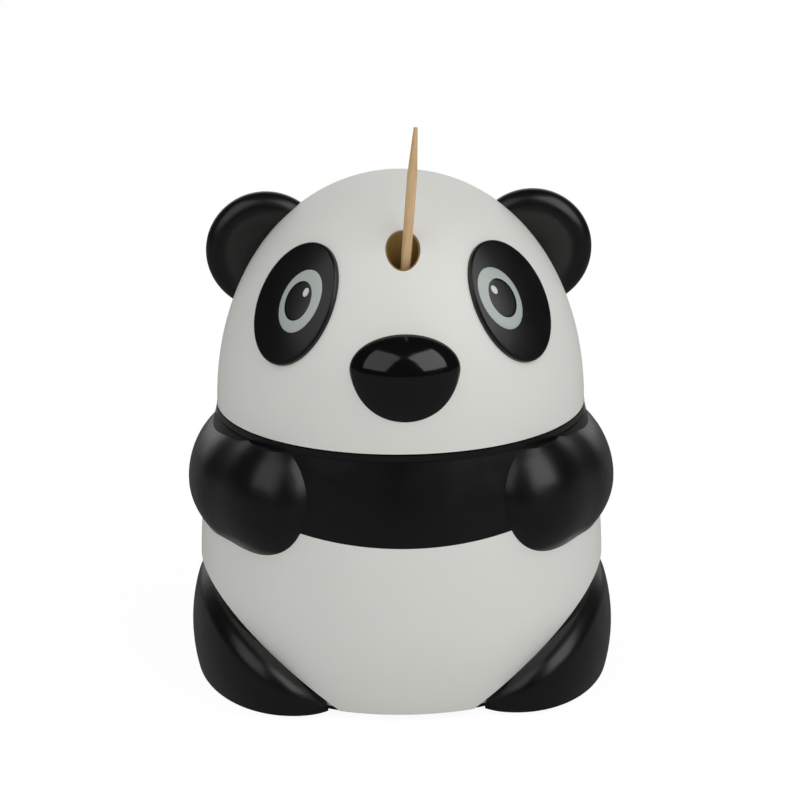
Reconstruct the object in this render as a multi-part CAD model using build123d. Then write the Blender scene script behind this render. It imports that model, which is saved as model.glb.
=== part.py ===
from build123d import *
from math import cos, hypot, radians, sin, sqrt, tan
import os

# Panda toothpick dispenser, free-standing, in millimetres.
# +Z is up, the face looks along -Y, the origin is the middle of the resting plane.
# Lifting the head lifts the hopper around a fixed post; pushing it down again
# leaves one toothpick standing on the post and out through the forehead.

# ---------------------------------------------------------------- driving sizes
# Body: a barrel whose widest ring lies at belly_z
belly_r, belly_z = 42.4, 21.0
body_up, body_down = 83.0, 47.0        # half heights of the barrel's two ellipses
ground_gap = 0.6                       # hard parts hang this far above the table
belly_bottom_z = 1.5
rim_z, rim_h, rim_step = 56.7, 1.4, 0.2  # plain ring, set back from the band's top edge
rim_w = 2.8
belly_wall = 3.4
cover_wall = 1.75                      # black covers lie this deep in the belly

# Head: a dome on the rim, a little fuller than half an ellipsoid
head_step = 0.1                        # the head's edge lies this far inside the rim's
head_h, head_wall = 48.0, 2.0
dome_fullness = 0.758                  # cos(45) would make it an ellipsoid
seam_gap = 0.3                         # open line between head and rim

# Black band with arms
band_low_z = 38.3                      # lower edge at the middle of the chest
band_edge_r = 155.0                    # that edge is an arc of this radius
belly_top_z = 46.0                     # white skirt ends here, under the band
arm_root_in = 13.9                     # the arms' flat roots lie this deep in the belly
arm_sections = (                       # azimuth, reach past the belly, height of the
    (24, -6.5, 43.9, 6.0, 6.0),        # widest place, and from there up and down
    (30, -0.9, 43.9, 10.4, 10.6),
    (36, 2.3, 43.9, 14.2, 14.7),
    (43, 3.5, 43.9, 15.6, 16.2),
    (52, 3.2, 43.2, 15.6, 15.8),
    (66, 2.6, 41.8, 15.6, 14.6),
    (84, 2.3, 40.8, 15.5, 13.0),
    (102, 2.3, 40.8, 15.5, 12.9),
    (114, 1.9, 40.8, 14.5, 12.2),
    (125, -0.1, 40.8, 11.8, 10.0),
    (135, -5.0, 40.8, 7.0, 6.0))

# Legs: ellipsoids cut by a slanted plane
leg_half_w, leg_half_h, leg_z = 21.8, 27.2, 8.6
leg_out, leg_set_in = 2.15, 4.5        # past the belly sideways, short of it in front
leg_cut_in, leg_cut_slope = 11.0, 38.0   # where the cut meets the ground, degrees
leg_round = 3.8                        # of the edge beside the belly

# Ears
ear_r, ear_lip_r, ear_dish = 12.5, 3.1, 1.9
ear_sunk, ear_y, ear_z = 1.9, 6.0, 87.5  # the disc's middle lies this deep in the dome

# Eye patches: oval slabs that follow the dome at this azimuth and height
eye_az, eye_z = 43.7, 84.35
eye_turn = 6.0                         # walls and pegs point this much further sideways
eye_half_w, eye_half_h = 9.7, 12.93
eye_stand, eye_round = 1.0, 0.6
eye_peg_r, eye_peg_pitch, eye_peg_len = 1.2, 12.0, 9.4
eye_peg_top = 0.2                      # above the dome at the patch's middle
push_nut_r, push_nut_t, push_nut_in = 2.7, 0.5, 0.9   # in: from the wall to its middle

# Nose: the cap of an egg that is wider at the top
nose_half_w, nose_half_d, nose_up, nose_down = 12.1, 10.0, 8.2, 13.2
nose_full_up, nose_full_down = 0.695, 0.861
nose_sunk, nose_z, nose_wall = 6.0, 72.75, 1.6  # its widest ring lies at nose_z

# Toothpicks
pick_d, pick_len, pick_taper, pick_tip_d = 2.0, 65.0, 9.5, 0.8
pick_lean = 4.35                       # degrees, of the one that stands ready
pick_cross = 10.5                      # it crosses the exit's axis this far below the forehead

# Feed: post, hopper and exit all stand on one axis in front of the middle
post_play = 0.3                        # between post and hopper wall
notch_len, notch_w, notch_depth = 7.2, 2.6, 3.0
post_r, post_foot_r, post_foot_h = 4.4, 8.0, 2.0
notch_floor_z = 54.8
guide_bore_r, guide_r, guide_low_z = 3.15, 3.9, 76.0
guide_tip_r, guide_tip_len = 3.45, 1.2  # thinner end that fills the forehead's hole
funnel_r, funnel_h, funnel_wall = 8.4, 4.0, 1.0
guide_sunk = 0.15                      # the tube's end lies this far under the forehead
guide_boss_r = 5.6

# Hopper
hopper_wall, hopper_top_z = 1.5, 64.0
hopper_bottom_z = 5.2
floor_t, floor_slope = 1.5, 6.0
floor_over = 0.2                       # head up, the floor lies this far above the notch's
floor_ledge_w, floor_ledge_t = 1.4, 1.2
neck_w, neck_bottom_z = 1.4, 58.3      # the neck is a push fit for the head
flange_w = 3.0                         # the flange rests on the collar, and the head on it
stop_ring_w, stop_ring_h = 2.0, 2.0
stop_ring_gap = 0.4                    # above the foot of the post
key_w, key_out = 3.0, 1.2
bundle_rings, bundle_pitch = 5, 2.15

# Collar that guides the hopper
collar_w, collar_h, collar_ledge_t, collar_ledge_w = 5.3, 6.7, 1.2, 2.3

# Base
plate_inset, plate_t = 2.3, 2.0        # ring of belly left round the plate
foot_pad_r, foot_pad_h, foot_pad_inset = 4.0, 1.7, 9.3

# Screws: shank radius, head radius, head height
small_screw = (0.9, 1.6, 1.0)
pad_t = 0.7                            # washer face inside the head, half in its wall
post_screw_size = (1.4, 2.8, 1.2)
plate_screw_inset, plate_lug_r, plate_lug_h = 2.1, 1.7, 6.0
plate_screw_len = 6.0
collar_screw_len = 5.0
band_screw_len, band_screw_z = 5.6, 42.0
leg_screw_len, leg_screw_z = 5.6, 11.0
screw_pad_t = 0.6                      # flat pads under the radial screws
ear_screw_len, ear_boss_r = 6.0, 2.1
nose_screw_len, nose_boss_r, nose_boss_len = 5.2, 2.8, 3.2

# Clearances
slide_gap = 0.3                        # hopper in collar, post in hopper floor
push_gap = 0.1                         # head on hopper neck
seat_gap = 0.05                        # fixed parts against each other

ELLIPSE = cos(radians(45))             # weight of a quarter that is part of an ellipse
TALL = 400.0                           # longer than anything in the part


# ---------------------------------------------------------------- helpers
def half_oval(r, up, down, full_up=ELLIPSE, full_down=ELLIPSE):
    """Flat half oval beside the Y axis, of an upper and a lower quarter."""
    low = Edge.make_bezier((0, -down), (r, -down), (r, 0), weights=(1, full_down, 1))
    high = Edge.make_bezier((r, 0), (r, up), (0, up), weights=(1, full_up, 1))
    return Face(Wire([low, high, Edge.make_line((0, up), (0, -down))]))


def spheroid(r, up, down, z=0.0, full_up=ELLIPSE, full_down=ELLIPSE):
    """Solid turned from two quarter ovals that meet at height z."""
    turned = revolve(Plane.YZ * half_oval(r, up, down, full_up, full_down), Axis.Z)
    return Pos(0, 0, z) * turned


def disc(r, z0, z1, x=0.0, y=0.0):
    return Pos(x, y, z0) * Cylinder(r, z1 - z0, align=(Align.CENTER, Align.CENTER, Align.MIN))


def ring(r_out, r_in, z0, z1):
    return disc(r_out, z0, z1) - disc(r_in, z0 - 1, z1 + 1)


def around(azimuth, r, z=0.0):
    """Point at an azimuth measured from the face (-Y) towards +X."""
    a = radians(azimuth)
    return (r * sin(a), -r * cos(a), z)


def rod(start, direction, r, length):
    """Cylinder that starts at a point and runs along a direction."""
    return Plane(origin=start, z_dir=direction) * Cylinder(
        r, length, align=(Align.CENTER, Align.CENTER, Align.MIN))


def screw(seat, direction, size, length):
    """Pan-head screw: the head's underside lies on seat, the shank runs along direction."""
    shank_r, screw_head_r, screw_head_h = size
    where = Plane(origin=seat, z_dir=direction)
    body = Cylinder(shank_r, length, align=(Align.CENTER, Align.CENTER, Align.MIN))
    cap = Cylinder(screw_head_r, screw_head_h, align=(Align.CENTER, Align.CENTER, Align.MAX))
    cap = fillet(cap.edges().group_by(Axis.Z)[0], screw_head_h * 0.4)
    cross = Box(screw_head_r * 1.1, shank_r * 0.5, screw_head_h) + Box(
        shank_r * 0.5, screw_head_r * 1.1, screw_head_h)
    return where * (body + cap - Pos(0, 0, -screw_head_h) * cross)


def body_shape(inset=0.0):
    """The barrel of the body, or the same barrel with a smaller radius."""
    return spheroid(belly_r - inset, body_up - inset, body_down - inset, belly_z)


def body_radius(z, inset=0.0):
    half = (body_up if z > belly_z else body_down) - inset
    return (belly_r - inset) * sqrt(1 - ((z - belly_z) / half) ** 2)


def dome(grow=0.0):
    """The head's form as a closed solid, grown or shrunk."""
    return spheroid(head_r + grow, head_h + grow, head_h, head_z, dome_fullness)


def head_shape(inset=0.0):
    return dome(-inset) & disc(TALL, head_z, head_z + TALL)


def dome_outline(share):
    """Outline of a dome one high and one wide: the height at a radius, or the reverse."""
    k = 4 * dome_fullness ** 2
    b = 2 * share + k * (1 - share)
    return 1 - (b - sqrt(b * b - 4 * share * share)) / 2


def head_radius(z, inset=0.0):
    return (head_r - inset) * dome_outline((z - head_z) / (head_h - inset))


def head_normal(point):
    x, y, z = point
    r = hypot(x, y)
    u, v = r / head_r, (z - head_z) / head_h
    k = 4 * dome_fullness ** 2
    outward = (2 * (u + v - 1) + k * (1 - v)) / head_r
    upward = (2 * (u + v - 1) + k * (1 - u)) / head_h
    return Vector(x / r * outward, y / r * outward, upward).normalized()


def both_sides(shape):
    return shape, mirror(shape, about=Plane.YZ)


# ---------------------------------------------------------------- derived places
band_top_z = rim_z - rim_h
rim_r = body_radius(band_top_z) - rim_step
band_inner_r = rim_r - rim_w
head_r = rim_r - head_step
head_z = rim_z + seam_gap              # centre of the head's form
boss_depth = head_wall - pad_t / 2 - seat_gap   # how far ear and nose bosses enter the head
ear_x = sqrt(head_radius(ear_z) ** 2 - ear_y ** 2) - ear_sunk
nose_y = nose_sunk - head_radius(nose_z)
leg_half_d = belly_r - leg_set_in
leg_x = belly_r + leg_out - leg_half_w
leg_cut_x = leg_x - leg_cut_in
hopper_r = band_inner_r - collar_w - slide_gap
neck_r = hopper_r + neck_w
flange_r = neck_r + flange_w
stop_ring_r = hopper_r + stop_ring_w
feed_y = post_r + post_play - (hopper_r - hopper_wall)
collar_z = rim_z - collar_h
collar_ledge_r = band_inner_r - collar_ledge_w
collar_screw_ring_r = band_inner_r - collar_ledge_w / 2
post_top_z = notch_floor_z + notch_depth
plate_z = ground_gap
plate_top_z = plate_z + plate_t
stop_ring_top_z = plate_top_z + post_foot_h + stop_ring_gap + stop_ring_h
lift = collar_z - stop_ring_top_z      # travel of head and hopper
floor_z = notch_floor_z - lift + floor_over   # top of the hopper's floor at the post
plate_r = body_radius(belly_bottom_z) - plate_inset
plate_screw_ring_r = plate_r - plate_screw_inset
foot_pad_ring_r = plate_r - foot_pad_inset


# ---------------------------------------------------------------- head
def eye_plane(side):
    """Plane on the head's surface, square to a patch's pegs: x sideways, y up the head."""
    point = around(side * eye_az, head_radius(eye_z), eye_z)
    normal = head_normal(point).rotate(Axis.Z, side * eye_turn)
    return Plane(origin=point, x_dir=Vector(0, 0, 1).cross(normal), z_dir=normal)


def dome_drop(where, y):
    """How far the dome has curved away from this plane at a place y up the plane."""
    lean = hypot(where.z_dir.X, where.z_dir.Y)
    drop = 0.0
    for _ in range(6):
        p = where.from_local_coords(Vector(0, y, -drop))
        drop += (hypot(p.X, p.Y) - head_radius(p.Z)) * lean
    return drop


def eye_pegs(side, r, length):
    where = eye_plane(side)
    pegs = [Pos(0, y, eye_peg_top - length / 2) * Cylinder(r, length)
            for y in (-eye_peg_pitch / 2, eye_peg_pitch / 2)]
    return where * (pegs[0] + pegs[1])


def eye_patch(side):
    where = eye_plane(side)
    oval = where * extrude(Ellipse(eye_half_w, eye_half_h), eye_half_w, both=True)
    slab = (oval & dome(eye_stand)) - dome(seat_gap)
    face = slab.faces().sort_by(Axis(where.origin, where.z_dir))[-1]
    return fillet(face.edges(), eye_round) + eye_pegs(side, eye_peg_r, eye_peg_len)


def eye_push_nuts(side):
    """Spring washers pushed over the pegs, inside the head."""
    where = eye_plane(side)
    nuts = []
    for y in (-eye_peg_pitch / 2, eye_peg_pitch / 2):
        depth = head_wall + dome_drop(where, y) + push_nut_in
        nut = Pos(0, y, -depth) * Cylinder(push_nut_r, push_nut_t)
        nuts.append(nut - Pos(0, y, 0) * Cylinder(eye_peg_r + 0.01, TALL))
    return where * (nuts[0] + nuts[1])


def ear(side):
    """Dished disc with a thick round lip, seated on the dome."""
    lip_mid = ear_r - ear_lip_r
    dish = Spline([(0, -ear_lip_r + ear_dish), (lip_mid * 0.55, -ear_lip_r + ear_dish * 0.8),
                   (lip_mid, -ear_lip_r)], tangents=[(1, 0), (1, 0)])
    lip = CenterArc((lip_mid, 0), ear_lip_r, -90, 180)
    back = Line((lip_mid, ear_lip_r), (0, ear_lip_r))
    axis = Line((0, ear_lip_r), (0, -ear_lip_r + ear_dish))
    profile = Face(Wire([dish.edge(), lip.edge(), back.edge(), axis.edge()]))
    turned = revolve(Plane.XY * profile, Axis.Y)
    turned = Pos(side * ear_x, ear_y, ear_z) * turned
    turned -= dome(seat_gap)
    seat, normal = ear_seat(side)
    boss = rod(seat - normal * boss_depth, normal, ear_boss_r, head_wall + 0.6)
    bore = rod(seat - normal * (head_wall + 1), normal, small_screw[0], ear_screw_len + 0.6)
    return turned + boss - bore


def ear_seat(side):
    """Point of the dome in the thick of the ear, and the normal there."""
    y = ear_y + ear_dish / 2
    x = sqrt(head_radius(ear_z) ** 2 - y ** 2)
    point = Vector(side * x, y, ear_z)
    return point, head_normal(point)


def ear_screw(side):
    seat, normal = ear_seat(side)
    under = seat - normal * (head_wall + pad_t / 2)
    return screw(under, normal, small_screw, ear_screw_len - 0.8)


def nose_egg(inset=0.0):
    """Egg turned about Z and flattened front to back."""
    w = nose_half_w - inset
    egg = spheroid(w, nose_up - inset, nose_down - inset, 0, nose_full_up, nose_full_down)
    egg = scale(egg, by=(1, (nose_half_d - inset) / w, 1))
    return Pos(0, nose_y, nose_z) * egg


def nose():
    seat, normal = nose_seat()
    hollow = nose_egg(nose_wall)
    shell = nose_egg() - hollow
    boss = rod(seat - normal * boss_depth, normal, nose_boss_r, boss_depth + nose_boss_len)
    shell = shell - dome(seat_gap)
    bore = rod(seat - normal * (head_wall + 1), normal, small_screw[0], nose_screw_len + 0.6)
    return shell + boss - bore


def nose_seat():
    point = Vector(0, -head_radius(nose_z), nose_z)
    return point, head_normal(point)


def nose_screw():
    seat, normal = nose_seat()
    return screw(seat - normal * (head_wall + pad_t / 2), normal, small_screw,
                 nose_screw_len - 0.8)


def head_shell():
    drill = 4 * head_wall
    shell = head_shape() - head_shape(head_wall)
    boss = disc(guide_boss_r, guide_low_z + funnel_h, head_z + head_h, 0, feed_y)
    shell += boss & head_shape(head_wall / 2)
    socket = disc(guide_r + seat_gap, guide_low_z - 5, head_z + head_h, 0, feed_y)
    shell -= socket & dome(-guide_tip_len)
    shell -= disc(guide_tip_r + seat_gap, guide_low_z - 5, head_z + head_h + 5, 0, feed_y)
    for side in (-1, 1):
        shell -= eye_pegs(side, eye_peg_r + seat_gap, eye_peg_len + 2)
        seat, normal = ear_seat(side)
        shell -= rod(seat - normal * drill, normal, ear_boss_r + seat_gap, 2 * drill)
        shell += ring_pad(seat, normal, ear_boss_r)
    seat, normal = nose_seat()
    shell -= rod(seat - normal * drill, normal, nose_boss_r + seat_gap, 2 * drill)
    return shell + ring_pad(seat, normal, nose_boss_r)


def ring_pad(seat, normal, hole_r):
    """Flat washer face inside the head for a screw head to pull on."""
    pad = rod(seat - normal * (head_wall + pad_t / 2), normal, hole_r + 1.2, pad_t)
    return pad - rod(seat - normal * (head_wall + 1), normal, small_screw[0] + seat_gap, 2)


def exit_guide():
    """Tube with a funnel mouth; its top follows the forehead."""
    tube = disc(guide_r, guide_low_z + funnel_h, head_z + head_h, 0, feed_y)
    tube &= dome(-guide_tip_len - seat_gap)
    tip = disc(guide_tip_r, guide_low_z + funnel_h, head_z + head_h, 0, feed_y)
    tube += tip & dome(-guide_sunk)
    funnel = Pos(0, feed_y, guide_low_z + funnel_h / 2) * Cone(funnel_r, guide_boss_r, funnel_h)
    mouth = Pos(0, feed_y, guide_low_z + funnel_h / 2 - 0.01) * Cone(
        funnel_r - funnel_wall, guide_bore_r, funnel_h)
    bore = disc(guide_bore_r, guide_low_z - 1, head_z + head_h, 0, feed_y)
    return tube + funnel - mouth - bore


def lock_ring():
    """Ring glued in the head; it pushes over the hopper's neck."""
    z0 = neck_bottom_z + seat_gap
    outer = disc(head_r, z0, hopper_top_z - 1.0) & head_shape(head_wall + seat_gap)
    return outer - disc(neck_r + push_gap, z0 - 1, hopper_top_z)


# ---------------------------------------------------------------- hopper
def floor_slab(top_z, thickness, r):
    """Round plate that slopes down towards the post; top_z is its height at the post."""
    slab = Box(TALL, TALL, thickness, align=(Align.CENTER, Align.CENTER, Align.MAX))
    slab = Pos(0, feed_y, top_z) * Rot(floor_slope, 0, 0) * slab
    return slab & disc(r, 0, hopper_top_z)


def floor_height(y):
    return floor_z + (y - feed_y) * tan(radians(floor_slope))


def hopper_cup():
    inner_r = hopper_r - hopper_wall
    cup = ring(hopper_r, inner_r, hopper_bottom_z, hopper_top_z)
    cup += ring(neck_r, inner_r, neck_bottom_z, hopper_top_z)
    cup += ring(flange_r, inner_r, head_z, neck_bottom_z)
    ledge = floor_slab(floor_z - floor_t - seat_gap, floor_ledge_t, hopper_r - hopper_wall / 2)
    ledge -= disc(inner_r - floor_ledge_w, 0, hopper_top_z)
    cup += ledge - disc(post_r + slide_gap, 0, hopper_top_z, 0, feed_y)
    for side in (-1, 1):
        key = Box(key_out + 1, key_w, neck_bottom_z - stop_ring_top_z - 2,
                  align=(Align.MIN, Align.CENTER, Align.MIN))
        key = Pos(hopper_r - 1, 0, stop_ring_top_z + 1.5) * key
        cup += key if side == 1 else mirror(key, about=Plane.YZ)
    return cup


def hopper_floor():
    plate = floor_slab(floor_z, floor_t, hopper_r - hopper_wall - seat_gap)
    return plate - disc(post_r + slide_gap, 0, hopper_top_z, 0, feed_y)


def stop_ring():
    """Glued round the foot of the hopper; it meets the collar when the head is up."""
    return ring(stop_ring_r, hopper_r + seat_gap, stop_ring_top_z - stop_ring_h, stop_ring_top_z)


def pick_shape():
    """Round toothpick, pointed at both ends, standing on the origin."""
    r, t = pick_d / 2, pick_tip_d / 2
    outline = Polyline((0, 0), (t, 0), (r, pick_taper), (r, pick_len - pick_taper),
                       (t, pick_len), (0, pick_len), close=True)
    return revolve(Plane.XZ * Face(outline.wire()), Axis.Z)


def toothpick_stock():
    """Hexagonal bundle that stands on the floor against the hopper's back wall."""
    bundle_r = bundle_rings * bundle_pitch + pick_d / 2
    centre_y = hopper_r - hopper_wall - bundle_r - 0.15
    one = pick_shape()
    picks = []
    for row in range(-bundle_rings, bundle_rings + 1):
        count = 2 * bundle_rings + 1 - abs(row)
        for i in range(count):
            x = (i - (count - 1) / 2) * bundle_pitch
            y = centre_y + row * bundle_pitch * sqrt(3) / 2
            rise = pick_tip_d / 2 * tan(radians(floor_slope)) + 0.01
            picks.append(Pos(x, y, floor_height(y) + rise) * one)
    return Compound(children=picks)


def ready_toothpick():
    """The toothpick on the post, leaning inside the notch and through the exit."""
    forehead_z = head_z + head_h * dome_outline(-feed_y / head_r)
    foot_x = -(forehead_z - pick_cross - notch_floor_z) * tan(radians(pick_lean))
    rise = pick_tip_d / 2 * sin(radians(pick_lean)) + 0.01
    return Pos(foot_x, feed_y, notch_floor_z + rise) * Rot(0, pick_lean, 0) * pick_shape()


# ---------------------------------------------------------------- body
def arms(grow=0.0):
    """Both arms with their hands, as full lobes; the body hides their inner half."""
    sections = []
    for azimuth, out, z, up, down in arm_sections:
        oval = half_oval(arm_root_in + out + grow, up + grow, down + grow)
        upright = Plane.XZ * (Pos(belly_r - arm_root_in, z) * oval)
        sections.append(Rot(0, 0, azimuth - 90) * upright)
    return both_sides(loft(sections) & disc(TALL, 0, band_top_z))


def above_band_edge(grow=0.0):
    """Everything above the curved lower edge of the band."""
    z = band_low_z - grow + band_edge_r
    return Pos(0, 0, z) * Rot(90, 0, 0) * Cylinder(band_edge_r, TALL)


def arm_band():
    right, left = arms()
    band = body_shape() & above_band_edge() & disc(TALL, 0, band_top_z)
    band = band + right + left
    band -= body_shape(cover_wall) & disc(TALL, 0, belly_top_z + seat_gap)
    band -= disc(band_inner_r, 0, TALL)
    band += ring(rim_r, band_inner_r, band_top_z, rim_z)
    band += ring(band_inner_r + 1, collar_ledge_r, collar_z - collar_ledge_t, collar_z)
    for azimuth in collar_screw_azimuths():
        x, y, _ = around(azimuth, collar_screw_ring_r)
        band -= disc(small_screw[0] + seat_gap, 0, collar_z + 1, x, y)
        band -= disc(small_screw[1] + 0.3, 0, collar_z - collar_ledge_t, x, y)
    for azimuth in band_screw_azimuths():
        start, outward = radial(azimuth, band_screw_z)
        band -= rod(start, outward, small_screw[0], band_screw_len + 0.4)
    return band


def radial(azimuth, z):
    """Seat of a radial screw on the belly's inner wall, and its outward direction."""
    inside = body_radius(z, belly_wall) - screw_pad_t
    return Vector(*around(azimuth, inside, z)), Vector(*around(azimuth, 1))


def collar_screw_azimuths():
    return 0, 120, 240


def band_screw_azimuths():
    return -110, -70, 70, 110


def leg_screw_azimuths():
    return -122, -58, 58, 122


def plate_screw_azimuths():
    return 45, 135, 225, 315


def foot_places():
    return [(0, 0)] + [around(a, foot_pad_ring_r)[:2] for a in plate_screw_azimuths()]


def leg_zone(side, grow=0.0):
    """Half space under the slanted plane that bounds a leg."""
    block = Box(TALL, TALL, TALL, align=(Align.CENTER, Align.CENTER, Align.MAX))
    lift_off = Pos(0, 0, grow / cos(radians(leg_cut_slope)))
    zone = lift_off * Pos(leg_cut_x, 0, 0) * Rot(0, -leg_cut_slope, 0) * block
    return zone if side == 1 else mirror(zone, about=Plane.YZ)


def leg(side):
    lobe = scale(Rot(0, 0, side * 90) * spheroid(1, 1, 1), by=(leg_half_w, leg_half_d, leg_half_h))
    lobe = Pos(side * leg_x, 0, leg_z) * lobe & leg_zone(side) & disc(TALL, ground_gap, TALL)
    slant = lobe.faces().filter_by(GeomType.PLANE).sort_by(Axis.Z)[-1]
    lobe = fillet(slant.edges().filter_by(GeomType.LINE, reverse=True), leg_round)
    lobe -= body_shape(cover_wall)
    lobe -= disc(plate_r + 1.0, 0, plate_top_z + seat_gap)
    for azimuth in leg_screw_azimuths():
        if azimuth * side > 0:
            start, outward = radial(azimuth, leg_screw_z)
            lobe -= rod(start, outward, small_screw[0], leg_screw_len + 0.4)
    return lobe


def belly_shell():
    shell = body_shape() & disc(TALL, belly_bottom_z, belly_top_z)
    shell -= body_shape(belly_wall)
    layer = body_shape(-1.0) - body_shape(cover_wall + seat_gap)
    shell -= layer & above_band_edge(seat_gap)
    for lobe in arms(seat_gap):
        shell -= layer & lobe
    for side in (-1, 1):
        shell -= layer & leg_zone(side, seat_gap)
    for azimuth in plate_screw_azimuths():
        x, y, _ = around(azimuth, plate_screw_ring_r)
        lug = disc(plate_lug_r, plate_top_z, plate_top_z + plate_lug_h, x, y)
        shell += lug & body_shape(cover_wall + 1)
        shell -= disc(small_screw[0], 0, plate_top_z + plate_screw_len - 0.6, x, y)
    shell -= disc(plate_r + seat_gap, 0, plate_top_z + seat_gap)
    for azimuth, z in [(a, band_screw_z) for a in band_screw_azimuths()] + [
            (a, leg_screw_z) for a in leg_screw_azimuths()]:
        start, outward = radial(azimuth, z)
        shell += rod(start, outward, small_screw[1] + 0.6, screw_pad_t + 0.6)
        shell -= rod(start - outward, outward, small_screw[0] + seat_gap, 6)
    return shell


def guide_collar():
    collar = ring(band_inner_r - seat_gap, hopper_r + slide_gap, collar_z, rim_z)
    for side in (-1, 1):
        slot = Box(key_out + slide_gap + 1, key_w + 2 * slide_gap, collar_h + 2,
                   align=(Align.MIN, Align.CENTER, Align.MIN))
        slot = Pos(hopper_r - 0.7, 0, collar_z - 1) * slot
        collar -= slot if side == 1 else mirror(slot, about=Plane.YZ)
    for azimuth in collar_screw_azimuths():
        x, y, _ = around(azimuth, collar_screw_ring_r)
        collar -= disc(small_screw[0], collar_z - 1, collar_z + collar_screw_len - 0.8, x, y)
    return collar


# ---------------------------------------------------------------- base
def base_plate():
    plate = disc(plate_r, plate_z, plate_top_z)
    plate -= disc(post_screw_size[0] + seat_gap, 0, 10, 0, feed_y)
    plate -= disc(post_screw_size[1] + 0.3, 0, plate_z + post_screw_size[2] + 0.1, 0, feed_y)
    for x, y in foot_places():
        plate -= disc(foot_pad_r + seat_gap, 0, foot_pad_h + seat_gap, x, y)
    for azimuth in plate_screw_azimuths():
        x, y, _ = around(azimuth, plate_screw_ring_r)
        plate -= disc(small_screw[0] + seat_gap, 0, 10, x, y)
        plate -= disc(small_screw[1] + 0.2, 0, plate_z + small_screw[2] + 0.1, x, y)
    return plate


def rubber_feet():
    pads = []
    for x, y in foot_places():
        pad = disc(foot_pad_r, 0, foot_pad_h, x, y)
        pads.append(fillet(pad.edges().group_by(Axis.Z)[0], 0.3))
    return Compound(children=pads)


def picker_post():
    post = disc(post_r, plate_top_z, post_top_z, 0, feed_y)
    post = chamfer(post.edges().group_by(Axis.Z)[-1], 0.4)
    foot = disc(post_foot_r, plate_top_z, plate_top_z + post_foot_h, 0, feed_y)
    notch = Pos(0, feed_y, post_top_z) * Box(notch_len, notch_w, 2 * notch_depth)
    bore = disc(post_screw_size[0], 0, plate_top_z + 8.4, 0, feed_y)
    return post + foot - notch - bore


def post_screw():
    seat = Vector(0, feed_y, plate_z + post_screw_size[2] + 0.1)
    return screw(seat, (0, 0, 1), post_screw_size, 8.0)


def base_screws():
    seat_z = plate_z + small_screw[2] + 0.1
    return Compound(children=[
        screw(around(a, plate_screw_ring_r, seat_z), (0, 0, 1), small_screw, plate_screw_len)
        for a in plate_screw_azimuths()])


def collar_screws():
    seat_z = collar_z - collar_ledge_t
    return Compound(children=[
        screw(around(a, collar_screw_ring_r, seat_z), (0, 0, 1), small_screw, collar_screw_len)
        for a in collar_screw_azimuths()])


def radial_screws(azimuths, z, length):
    screws = []
    for azimuth in azimuths:
        start, outward = radial(azimuth, z)
        screws.append(screw(start, outward, small_screw, length))
    return Compound(children=screws)


# ---------------------------------------------------------------- export
nodes = {
    "head_shell": head_shell(),
    "left_ear": ear(1),
    "right_ear": ear(-1),
    "ear_screws": Compound(children=[ear_screw(-1), ear_screw(1)]),
    "left_eye_patch": eye_patch(1),
    "right_eye_patch": eye_patch(-1),
    "eye_push_nuts": Compound(children=[eye_push_nuts(-1), eye_push_nuts(1)]),
    "nose": nose(),
    "nose_screw": nose_screw(),
    "exit_guide": exit_guide(),
    "lock_ring": lock_ring(),
    "hopper_cup": hopper_cup(),
    "hopper_floor": hopper_floor(),
    "stop_ring": stop_ring(),
    "toothpick_stock": toothpick_stock(),
    "ready_toothpick": ready_toothpick(),
    "arm_band": arm_band(),
    "belly_shell": belly_shell(),
    "left_leg": leg(1),
    "right_leg": leg(-1),
    "guide_collar": guide_collar(),
    "collar_screws": collar_screws(),
    "band_screws": radial_screws(band_screw_azimuths(), band_screw_z, band_screw_len),
    "leg_screws": radial_screws(leg_screw_azimuths(), leg_screw_z, leg_screw_len),
    "base_plate": base_plate(),
    "base_screws": base_screws(),
    "rubber_feet": rubber_feet(),
    "picker_post": picker_post(),
    "post_screw": post_screw(),
}

os.makedirs("parts", exist_ok=True)
for name, shape in nodes.items():
    export_step(shape, f"parts/{name}.step")
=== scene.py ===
from math import cos, hypot, pi, radians, sin, sqrt

import bmesh
import bpy
from mathutils import Matrix, Vector


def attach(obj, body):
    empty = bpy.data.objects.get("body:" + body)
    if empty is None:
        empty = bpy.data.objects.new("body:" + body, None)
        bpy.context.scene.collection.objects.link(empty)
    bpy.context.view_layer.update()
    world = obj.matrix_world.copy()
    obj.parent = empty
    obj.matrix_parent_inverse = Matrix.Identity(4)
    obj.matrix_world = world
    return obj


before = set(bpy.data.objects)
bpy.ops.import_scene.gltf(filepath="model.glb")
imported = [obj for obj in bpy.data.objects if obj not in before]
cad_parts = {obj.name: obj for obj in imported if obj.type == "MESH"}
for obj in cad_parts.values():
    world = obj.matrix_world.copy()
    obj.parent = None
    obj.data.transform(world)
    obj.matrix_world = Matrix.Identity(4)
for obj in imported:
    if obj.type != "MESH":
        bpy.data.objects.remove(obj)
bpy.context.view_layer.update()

MM = 0.001

# The head's dome, in millimetres: radius, height and foot. Its outline, one wide and one
# high, is the conic (u + v - 1)^2 = DOME_CONIC * (1 - u) * (1 - v), u outwards and v up
HEAD_R, HEAD_H, HEAD_Z = 38.31, 48.0, 57.0
DOME_FULLNESS = 0.758
DOME_CONIC = 4 * DOME_FULLNESS ** 2
# The eye patches on it: azimuth from the face, how many degrees further sideways they
# point, height, and thickness over the dome
EYE_AZIMUTH, EYE_TURN, EYE_Z, EYE_STAND = 43.7, 6.0, 84.35, 1.0
PICK_LEAN = 4.35                       # degrees, of the toothpick that stands ready

# One film of printing ink: thickness, and how far its rounded edge comes in and down
INK_T, INK_EDGE_IN, INK_EDGE_DOWN = 0.04, 0.02, 0.016
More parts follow.
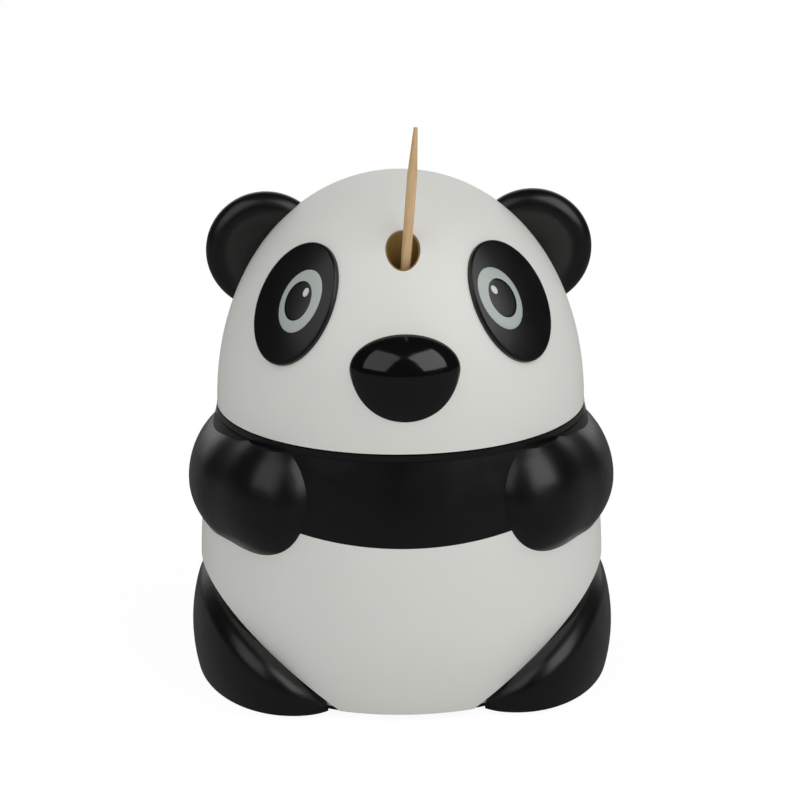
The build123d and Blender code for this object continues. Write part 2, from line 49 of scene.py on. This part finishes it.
# The printed ovals: half width and half height, then for each eye how far the oval lies
# towards the nose and up the patch, and how many degrees its top leans to the nose
PRINTS = {
    "iris": {"half": (4.62, 6.67), "left": (3.87, 1.06, 4.9), "right": (2.5, 0.59, 3.7)},
    "pupil": {"half": (3.02, 4.17), "left": (3.55, 0.94, 3.4), "right": (2.19, 0.48, 0.8)},
    "glint": {"half": (0.62, 0.95), "left": (4.81, 3.02, 10.0), "right": (3.39, 2.55, 0.0)},
}

# Studio, in metres and degrees: a soft box on each side of the face, a table top just
# under the feet, and the camera
LAMP_AIM = Vector((0, 0, 0.06))
LAMP_AZIMUTH, LAMP_ELEVATION, LAMP_DISTANCE = 53, 40, 0.9
LAMP_WIDTH, LAMP_HEIGHT = 0.8, 0.85
TABLE_R, TABLE_DROP = 2.5, 0.0002
CAMERA_CENTRE = Vector((0, 0, 0.0573))
CAMERA_AIM = Vector((-0.00013, 0, 0.05633))
CAMERA_AZIMUTH, CAMERA_ELEVATION, CAMERA_DISTANCE, CAMERA_ROLL = -1.5, 17.25, 0.65, -0.34
SENSOR_MM, LENS_MM = 36.0, 139.8


# ---------------------------------------------------------------- colours and nodes
def linear(hex_colour):
    """sRGB hex to a linear colour with alpha 1."""
    channels = [int(hex_colour[i:i + 2], 16) / 255 for i in (1, 3, 5)]
    return tuple(c / 12.92 if c <= 0.04045 else ((c + 0.055) / 1.055) ** 2.4
                 for c in channels) + (1.0,)


def bare_tree(owner):
    """Node tree of a material or of the world, emptied."""
    owner.use_nodes = True
    owner.node_tree.nodes.clear()
    return owner.node_tree


def add(tree, kind, inputs=None, **settings):
    """Adds a node; each input is a value or another node's output."""
    node = tree.nodes.new("ShaderNode" + kind)
    for name, value in settings.items():
        setattr(node, name, value)
    for name, value in (inputs or {}).items():
        if isinstance(value, bpy.types.NodeSocket):
            tree.links.new(value, node.inputs[name])
        else:
            node.inputs[name].default_value = value
    return node


def new_material(name):
    """Empty material with its tree, a surface and the place on the object in metres."""
    material = bpy.data.materials.new(name)
    tree = bare_tree(material)
    shader = add(tree, "BsdfPrincipled")
    add(tree, "OutputMaterial", {"Surface": shader.outputs["BSDF"]})
    place = add(tree, "TexCoord").outputs["Object"]
    return material, tree, shader, place


def per_metre(size_mm):
    """Texture scale that gives a pattern of that size."""
    return 1 / (size_mm * MM)


# ---------------------------------------------------------------- finishes
def moulded(name, colour, shade, roughness, grain_mm=0.45, grain_height=0.006):
    """Injection-moulded ABS: an even colour with faint flow clouds, over a fine eroded grain
    that spreads highlights. The grain of the real mould is about 0.1 mm; it is drawn at
    0.45 mm so that it shows."""
    material, tree, shader, place = new_material(name)
    clouds = add(tree, "TexNoise", {"Vector": place, "Scale": per_metre(14), "Detail": 3.0,
                                    "Roughness": 0.55})
    mix = add(tree, "Mix", {"Factor": clouds.outputs["Fac"], "A": linear(colour),
                            "B": linear(shade)}, data_type="RGBA")
    tree.links.new(mix.outputs["Result"], shader.inputs["Base Color"])
    rubbed = add(tree, "TexNoise", {"Vector": place, "Scale": per_metre(5), "Detail": 4.0})
    rough = add(tree, "MapRange", {"Value": rubbed.outputs["Fac"], "From Min": 0.3,
                                   "From Max": 0.7, "To Min": roughness - 0.04,
                                   "To Max": roughness + 0.04})
    tree.links.new(rough.outputs["Result"], shader.inputs["Roughness"])
    grain = add(tree, "TexNoise", {"Vector": place, "Scale": per_metre(grain_mm),
                                   "Detail": 2.0})
    bump = add(tree, "Bump", {"Height": grain.outputs["Fac"], "Strength": 0.5,
                              "Distance": grain_height * MM})
    tree.links.new(bump.outputs["Normal"], shader.inputs["Normal"])
    shader.inputs["IOR"].default_value = 1.54
    return material


def turned_birch(name, lean):
    """Bare birch, turned along the stick: long pale and tan fibres, sanded dull."""
    material, tree, shader, place = new_material(name)
    along = add(tree, "Mapping", {"Vector": place, "Rotation": (0, radians(-lean), 0)})
    stretched = add(tree, "Mapping", {"Vector": along.outputs["Vector"],
                                      "Scale": (1.0, 1.0, 0.06)})
    fibre = add(tree, "TexNoise", {"Vector": stretched.outputs["Vector"],
                                   "Scale": per_metre(0.5), "Detail": 4.0, "Roughness": 0.6})
    ramp = add(tree, "ValToRGB", {"Fac": fibre.outputs["Fac"]})
    for stop, position, colour in zip(ramp.color_ramp.elements, (0.32, 0.68),
                                      ("#B98F5C", "#DDBE92")):
        stop.position = position
        stop.color = linear(colour)
    cross = add(tree, "TexNoise", {"Vector": along.outputs["Vector"], "Scale": per_metre(1.6),
                                   "Detail": 2.0})
    speck = add(tree, "Mix", {"Factor": cross.outputs["Fac"],
                              "A": ramp.outputs["Color"], "B": linear("#CDAF84")},
                data_type="RGBA")
    tree.links.new(speck.outputs["Result"], shader.inputs["Base Color"])
    bump = add(tree, "Bump", {"Height": fibre.outputs["Fac"], "Strength": 0.6,
                              "Distance": 0.03 * MM})
    tree.links.new(bump.outputs["Normal"], shader.inputs["Normal"])
    shader.inputs["Roughness"].default_value = 0.62
    shader.inputs["IOR"].default_value = 1.5
    return material


def zinc_plated_steel():
    """Cold-headed steel with a thin bright zinc plating, slightly mottled."""
    material, tree, shader, place = new_material("zinc_plated_steel")
    spangle = add(tree, "TexVoronoi", {"Vector": place, "Scale": per_metre(0.6)})
    mix = add(tree, "Mix", {"Factor": spangle.outputs["Distance"], "A": linear("#B9BCC0"),
                            "B": linear("#A3A6AB")}, data_type="RGBA")
    tree.links.new(mix.outputs["Result"], shader.inputs["Base Color"])
    rough = add(tree, "MapRange", {"Value": spangle.outputs["Distance"], "To Min": 0.26,
                                   "To Max": 0.4})
    tree.links.new(rough.outputs["Result"], shader.inputs["Roughness"])
    shader.inputs["Metallic"].default_value = 1.0
    return material


def moulded_rubber():
    """Soft black rubber: dull, with a coarse matt skin."""
    material = moulded("moulded_rubber", "#1E1E1D", "#262625", roughness=0.78,
                       grain_mm=0.8, grain_height=0.03)
    material.node_tree.nodes["Principled BSDF"].inputs["IOR"].default_value = 1.52
    return material


def printing_ink(name, colour, shade):
    """Pad-printed ink: a thin even film with a soft gloss and a barely visible grain."""
    return moulded(name, colour, shade, roughness=0.3, grain_mm=0.3, grain_height=0.001)


# Satin moulds give broad soft highlights; the nose's polished mould mirrors the soft boxes
WHITE_ABS = moulded("satin_white_abs", "#DEDED9", "#DADAD5", roughness=0.46)
BLACK_ABS = moulded("satin_black_abs", "#0B0B0B", "#090909", roughness=0.32)
NOSE_ABS = moulded("polished_black_abs", "#0B0B0B", "#090909", roughness=0.12,
                   grain_mm=1.2, grain_height=0.001)
GUIDE_ABS = moulded("brown_abs", "#8A6E38", "#7E6432", roughness=0.5)
INNER_ABS = moulded("natural_abs", "#D2CDBE", "#CAC5B5", roughness=0.5)
READY_BIRCH = turned_birch("turned_birch_leaning", PICK_LEAN)
STOCK_BIRCH = turned_birch("turned_birch", 0.0)
ZINC = zinc_plated_steel()
RUBBER = moulded_rubber()
GREY_INK = printing_ink("grey_ink", "#A9B1AC", "#A3ABA6")
BLACK_INK = printing_ink("black_ink", "#060907", "#050706")
WHITE_INK = printing_ink("white_ink", "#C9CCC8", "#C4C7C3")

# Every piece but the screws and push nuts, which are plated steel
FINISH = {
    "head_shell": WHITE_ABS, "belly_shell": WHITE_ABS,
    "left_ear": BLACK_ABS, "right_ear": BLACK_ABS,
    "left_eye_patch": BLACK_ABS, "right_eye_patch": BLACK_ABS,
    "arm_band": BLACK_ABS, "left_leg": BLACK_ABS, "right_leg": BLACK_ABS,
    "base_plate": BLACK_ABS, "nose": NOSE_ABS, "exit_guide": GUIDE_ABS,
    "lock_ring": INNER_ABS, "hopper_cup": INNER_ABS, "hopper_floor": INNER_ABS,
    "stop_ring": INNER_ABS, "guide_collar": INNER_ABS, "picker_post": INNER_ABS,
    "toothpick_stock": STOCK_BIRCH, "ready_toothpick": READY_BIRCH, "rubber_feet": RUBBER,
}

for name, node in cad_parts.items():
    node.data.materials.clear()
    node.data.materials.append(FINISH.get(name, ZINC))


# ---------------------------------------------------------------- objects and meshes
def link(name, data):
    """Puts a mesh, a lamp or a camera into the scene."""
    made = bpy.data.objects.new(name, data)
    bpy.context.scene.collection.objects.link(made)
    return made


def mesh_of(name, form):
    """Mesh from a finished form."""
    mesh = bpy.data.meshes.new(name)
    form.to_mesh(mesh)
    form.free()
    return mesh


# ---------------------------------------------------------------- printed eyes
def dome_outline(v):
    """The dome's outline: how far out it is, u, at a height v."""
    b = 2 * v + DOME_CONIC * (1 - v)
    return 1 - (b - sqrt(b * b - 4 * v * v)) / 2


def eye_plane(side):
    """Matrix of the plane under the eye patch: x sideways, y up the head, z outwards."""
    azimuth = radians(EYE_AZIMUTH) * side
    facing = azimuth + radians(EYE_TURN) * side
    v = (EYE_Z - HEAD_Z) / HEAD_H
    u = dome_outline(v)
    outward = (2 * (u + v - 1) + DOME_CONIC * (1 - v)) / HEAD_R
    upward = (2 * (u + v - 1) + DOME_CONIC * (1 - u)) / HEAD_H
    normal = Vector((outward * sin(facing), -outward * cos(facing), upward)).normalized()
    across = Vector((0, 0, 1)).cross(normal).normalized()
    plane = Matrix((across, normal.cross(across), normal)).transposed().to_4x4()
    plane.translation = Vector((HEAD_R * u * sin(azimuth), -HEAD_R * u * cos(azimuth), EYE_Z))
    return plane


def patch_height(plane, x, y):
    """Height of the patch's curved face over the plane at a place in it."""
    lean = hypot(plane[0][2], plane[1][2])
    height = EYE_STAND
    for _ in range(12):                # Newton's steps, which settle before the last
        point = plane @ Vector((x, y, height))
        face_r = (HEAD_R + EYE_STAND) * dome_outline((point.z - HEAD_Z) / (HEAD_H + EYE_STAND))
        height -= (hypot(point.x, point.y) - face_r) * lean
    return height


def printed_oval(name, half, centre, tilt, layer, side, ink):
    """Thin film of ink with a rounded edge, which follows the patch's face."""
    steps, low, high = 96, INK_T * layer, INK_T * (layer + 1)
    plane = eye_plane(side)
    turn = Matrix.Rotation(radians(tilt) * side, 3, "Z")
    rings = [(1.0, low), (1.0, high - INK_EDGE_DOWN), (1 - INK_EDGE_IN / half[0], high)]
    rings += [(share, high) for share in (0.85, 0.7, 0.5, 0.25)]   # so that it can curve
    form = bmesh.new()
    loops = []
    for share, height in rings:
        loop = []
        for i in range(steps):
            a = 2 * pi * i / steps
            flat = turn @ Vector((half[0] * share * cos(a), half[1] * share * sin(a), 0))
            x, y = flat.x + centre[0], flat.y + centre[1]
            loop.append(form.verts.new((x, y, height + patch_height(plane, x, y))))
        loops.append(loop)
    for lower, upper in zip(loops, loops[1:]):
        for i in range(steps):
            j = (i + 1) % steps
            form.faces.new((lower[i], lower[j], upper[j], upper[i]))
    form.faces.new(loops[-1])
    form.faces.new(list(reversed(loops[0])))
    mesh = mesh_of(name, form)
    mesh.transform(plane)
    mesh.transform(Matrix.Scale(MM, 4))
    mesh.polygons.foreach_set("use_smooth", [True] * len(mesh.polygons))
    mesh.materials.append(ink)
    film = link(name, mesh)
    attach(film, "head")


for label, side in (("left", 1), ("right", -1)):
    for layer, (shape, ink) in enumerate((("iris", GREY_INK), ("pupil", BLACK_INK),
                                          ("glint", WHITE_INK))):
        inward, up, tilt = PRINTS[shape][label]
        printed_oval(f"{label}_{shape}_print", PRINTS[shape]["half"], (-side * inward, up),
                     tilt, layer, side, ink)


# ---------------------------------------------------------------- studio
def around(azimuth, elevation, distance, centre):
    """Point seen from centre at an azimuth from the face towards the panda's left."""
    a, e = radians(azimuth), radians(elevation)
    return centre + distance * Vector((sin(a) * cos(e), -cos(a) * cos(e), sin(e)))


def soft_box(name, azimuth, watts):
    """Large rectangular lamp over one side of the face."""
    light = bpy.data.lights.new(name, "AREA")
    light.shape = "RECTANGLE"
    light.size, light.size_y, light.energy = LAMP_WIDTH, LAMP_HEIGHT, watts
    lamp = link(name, light)
    lamp.location = around(azimuth, LAMP_ELEVATION, LAMP_DISTANCE, LAMP_AIM)
    lamp.rotation_euler = (LAMP_AIM - lamp.location).to_track_quat("-Z", "Y").to_euler()


soft_box("right_soft_box", LAMP_AZIMUTH, watts=4.0)
soft_box("left_soft_box", -LAMP_AZIMUTH, watts=2.0)


def by_ray(tree, lit, mirrored, seen):
    """Value for light that falls on the object, for its mirror images and for the camera."""
    path = add(tree, "LightPath")
    clear = add(tree, "Math", {0: path.outputs["Is Glossy Ray"],
                               1: path.outputs["Is Transmission Ray"]}, operation="MAXIMUM")
    value = add(tree, "Mix", {"Factor": clear.outputs[0], "A": lit, "B": mirrored})
    return add(tree, "Mix", {"Factor": path.outputs["Is Camera Ray"],
                             "A": value.outputs["Result"], "B": seen}).outputs["Result"]


def room():
    """White backdrop behind the object; the room in front of it is dim."""
    world = bpy.data.worlds.new("room")
    bpy.context.scene.world = world
    tree = bare_tree(world)
    direction = add(tree, "TexCoord").outputs["Generated"]
    depth = add(tree, "SeparateXYZ", {"Vector": direction}).outputs["Y"]
    behind = add(tree, "MapRange", {"Value": depth, "From Min": 0.7, "From Max": 0.97,
                                    "To Min": 0.02, "To Max": 1.0},
                 interpolation_type="SMOOTHSTEP")
    strength = by_ray(tree, lit=0.45, mirrored=behind.outputs["Result"], seen=1.0)
    light = add(tree, "Background", {"Color": (1, 1, 1, 1), "Strength": strength})
    add(tree, "OutputWorld", {"Surface": light.outputs["Background"]})


room()


def table_top():
    """Round white table top, which keeps the object's soft shadow."""
    form = bmesh.new()
    bmesh.ops.create_circle(form, cap_ends=True, segments=96, radius=TABLE_R)
    mesh = mesh_of("table_top", form)
    table = link("table_top", mesh)
    table.location.z = -TABLE_DROP
    material = bpy.data.materials.new("white_sweep")
    tree = bare_tree(material)
    place = add(tree, "TexCoord").outputs["Object"]
    mottle = add(tree, "TexNoise", {"Vector": place, "Scale": per_metre(60)})
    tint = add(tree, "Mix", {"Factor": mottle.outputs["Fac"], "A": linear("#EDEDED"),
                             "B": linear("#E9E9E9")}, data_type="RGBA")
    paper = add(tree, "BsdfDiffuse", {"Color": tint.outputs["Result"]})
    brightness = by_ray(tree, lit=0.0, mirrored=0.1, seen=1.05)
    glow = add(tree, "Emission", {"Color": (1, 1, 1, 1), "Strength": brightness})
    glowing = by_ray(tree, lit=0.0, mirrored=0.9, seen=0.9)
    both = add(tree, "MixShader", {0: glowing, 1: paper.outputs[0], 2: glow.outputs[0]})
    add(tree, "OutputMaterial", {"Surface": both.outputs[0]})
    mesh.materials.append(material)


table_top()


# ---------------------------------------------------------------- camera
camera = link("camera", bpy.data.cameras.new("camera"))
camera.location = around(CAMERA_AZIMUTH, CAMERA_ELEVATION, CAMERA_DISTANCE, CAMERA_CENTRE)
camera.rotation_euler = ((CAMERA_AIM - camera.location).to_track_quat("-Z", "Y").to_matrix()
                         @ Matrix.Rotation(radians(CAMERA_ROLL), 3, "Z")).to_euler()
camera.data.sensor_width = SENSOR_MM
camera.data.lens = LENS_MM
bpy.context.scene.camera = camera
bpy.context.scene.view_settings.view_transform = "Standard"
